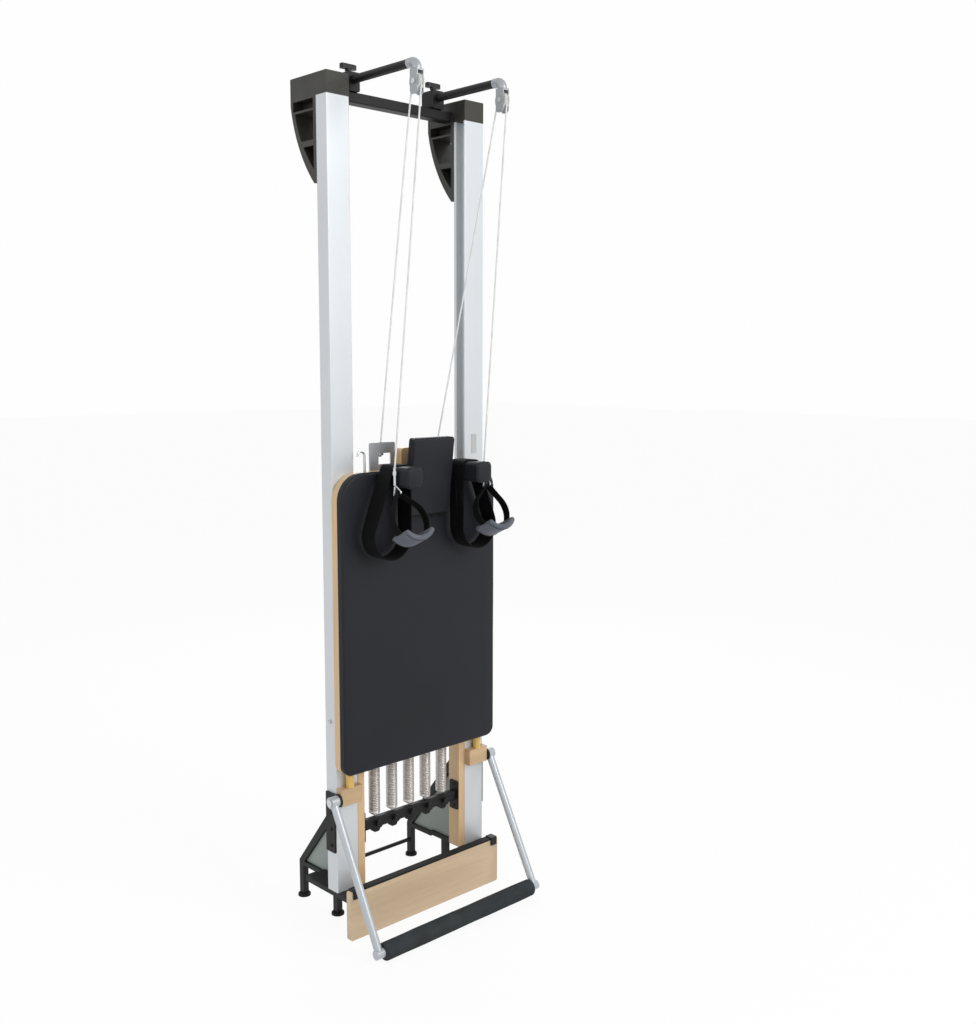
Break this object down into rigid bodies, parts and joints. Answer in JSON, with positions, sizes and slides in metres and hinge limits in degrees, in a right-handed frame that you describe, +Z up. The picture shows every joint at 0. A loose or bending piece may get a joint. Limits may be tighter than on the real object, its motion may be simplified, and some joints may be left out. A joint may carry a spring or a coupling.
{
  "type": "pilates reformer on upright storage stand",
  "caption": "Pilates reformer stored upright on a short stand: two rails, a padded sliding carriage on springs, rope pulleys at the top and a swinging foot bar.",
  "frame": {"origin": "on the floor, under the middle of the upright machine's footprint", "axes": "+Z up, along the rails to the head end; +Y to the back, towards the wall; +X to the right as seen from the front"},
  "size_m": [0.663, 0.5475, 2.5363],
  "materials": {
    "rail": "satin",
    "maple": "satin lacquer",
    "black_casting": "semi-gloss paint",
    "black_powder_coat": "satin",
    "chassis": "satin",
    "silver_casting": "satin",
    "bright_steel": "polished",
    "pulley_wheel": "satin",
    "carriage_wheel": "satin",
    "knob": "satin",
    "rubber": "matte",
    "amber_urethane": "satin",
    "upholstery": "satin vinyl",
    "headrest_board": "painted",
    "webbing": "woven",
    "neoprene": "matte",
    "rope": "braided",
    "silver_tube": "satin",
    "foam": "matte",
    "grey_panel": "satin",
    "fitting": "brushed"
  },
  "bodies": {
    "frame": {"rail_left": "rail", "rail_right": "rail", "rail_boards": "maple", "head_bracket_left": "black_casting", "head_bracket_right": "black_casting", "bracket_feet": "rubber", "head_crossbar": "black_powder_coat", "post_clamps": "black_powder_coat", "post_arms": "black_powder_coat", "post_elbows": "silver_casting", "pulley_housings": "silver_casting", "pulley_axles": "bright_steel", "wall_bumpers": "rubber", "rail_fittings": "fitting", "stand_sides": "black_powder_coat", "stand_struts": "black_powder_coat", "stand_gussets": "grey_panel", "stand_feet": "rubber", "stand_cross_rod": "black_powder_coat", "front_board": "maple", "board_trim": "rubber", "board_clips": "black_powder_coat", "gear_bar": "black_powder_coat", "gear_hooks": "black_powder_coat", "gear_plates": "black_powder_coat", "stop_blocks": "maple", "stop_bumpers": "amber_urethane", "footbar_plates": "black_powder_coat", "footbar_pins": "bright_steel", "springs": "bright_steel", "rope_left": "rope", "rope_right": "rope"},
    "carriage": {"deck": "maple", "deck_pad": "upholstery", "chassis_angles": "chassis", "wheel_axles": "bright_steel", "spring_bar": "chassis", "shoulder_rest_left": "upholstery", "shoulder_rest_right": "upholstery", "shoulder_brackets": "black_powder_coat", "rope_cleats": "chassis", "storage_hook": "bright_steel", "foot_loops": "webbing", "hand_loops": "webbing", "hand_grips": "neoprene", "rope_clips": "bright_steel", "headrest_hinges": "black_powder_coat"},
    "headrest": {"headrest_board": "headrest_board", "headrest_cushion": "upholstery"},
    "foot_bar": {"footbar_arms": "silver_tube", "footbar_core": "silver_tube", "footbar_foam": "foam"},
    "wheel_right_low": {"wheel_right_low": "carriage_wheel"},
    "wheel_right_high": {"wheel_right_high": "carriage_wheel"},
    "wheel_left_low": {"wheel_left_low": "carriage_wheel"},
    "wheel_left_high": {"wheel_left_high": "carriage_wheel"},
    "pulley_left": {"pulley_wheel_left": "pulley_wheel"},
    "pulley_right": {"pulley_wheel_right": "pulley_wheel"},
    "knob_left": {"knob_left": "knob"},
    "knob_right": {"knob_right": "knob"}
  },
  "joints": [
    {"name": "carriage_slide", "type": "slide", "parent": "frame", "child": "carriage", "axis": [0, 0, 1], "range_m": [0, 0.85], "deforming": ["springs", "rope_left", "rope_right"]},
    {"name": "headrest_tilt", "type": "hinge", "parent": "carriage", "child": "headrest", "pos_m": [0, -0.08455, 1.256], "axis": [1, 0, 0], "range_deg": [-6.5, 25]},
    {"name": "foot_bar_swing", "type": "hinge", "parent": "frame", "child": "foot_bar", "pos_m": [0, -0.03925, 0.417], "axis": [-1, 0, 0], "range_deg": [0, 110]},
    {"name": "wheel_right_low_spin", "type": "hinge", "parent": "carriage", "child": "wheel_right_low", "pos_m": [0.2295, -0.00575, 0.69], "axis": [1, 0, 0], "continuous": true},
    {"name": "wheel_right_high_spin", "type": "hinge", "parent": "carriage", "child": "wheel_right_high", "pos_m": [0.2295, -0.00575, 1.24], "axis": [1, 0, 0], "continuous": true},
    {"name": "wheel_left_low_spin", "type": "hinge", "parent": "carriage", "child": "wheel_left_low", "pos_m": [-0.2295, -0.00575, 0.69], "axis": [1, 0, 0], "continuous": true},
    {"name": "wheel_left_high_spin", "type": "hinge", "parent": "carriage", "child": "wheel_left_high", "pos_m": [-0.2295, -0.00575, 1.24], "axis": [1, 0, 0], "continuous": true},
    {"name": "pulley_right_spin", "type": "hinge", "parent": "frame", "child": "pulley_right", "pos_m": [0.16, -0.24925, 2.438], "axis": [1, 0, 0], "continuous": true},
    {"name": "knob_right_turn", "type": "hinge", "parent": "frame", "child": "knob_right", "pos_m": [0.16, 0.05275, 2.52], "axis": [0, 0, 1], "range_deg": [0, 270]},
    {"name": "pulley_left_spin", "type": "hinge", "parent": "frame", "child": "pulley_left", "pos_m": [-0.16, -0.24925, 2.438], "axis": [1, 0, 0], "continuous": true},
    {"name": "knob_left_turn", "type": "hinge", "parent": "frame", "child": "knob_left", "pos_m": [-0.16, 0.05275, 2.52], "axis": [0, 0, 1], "range_deg": [0, 270]}
  ],
  "couplings": [
    {"joint": "wheel_right_low_spin", "follows": "carriage_slide", "rad_per_m": -61.728},
    {"joint": "wheel_right_high_spin", "follows": "carriage_slide", "rad_per_m": -61.728},
    {"joint": "wheel_left_low_spin", "follows": "carriage_slide", "rad_per_m": -61.728},
    {"joint": "wheel_left_high_spin", "follows": "carriage_slide", "rad_per_m": -61.728}
  ]
}
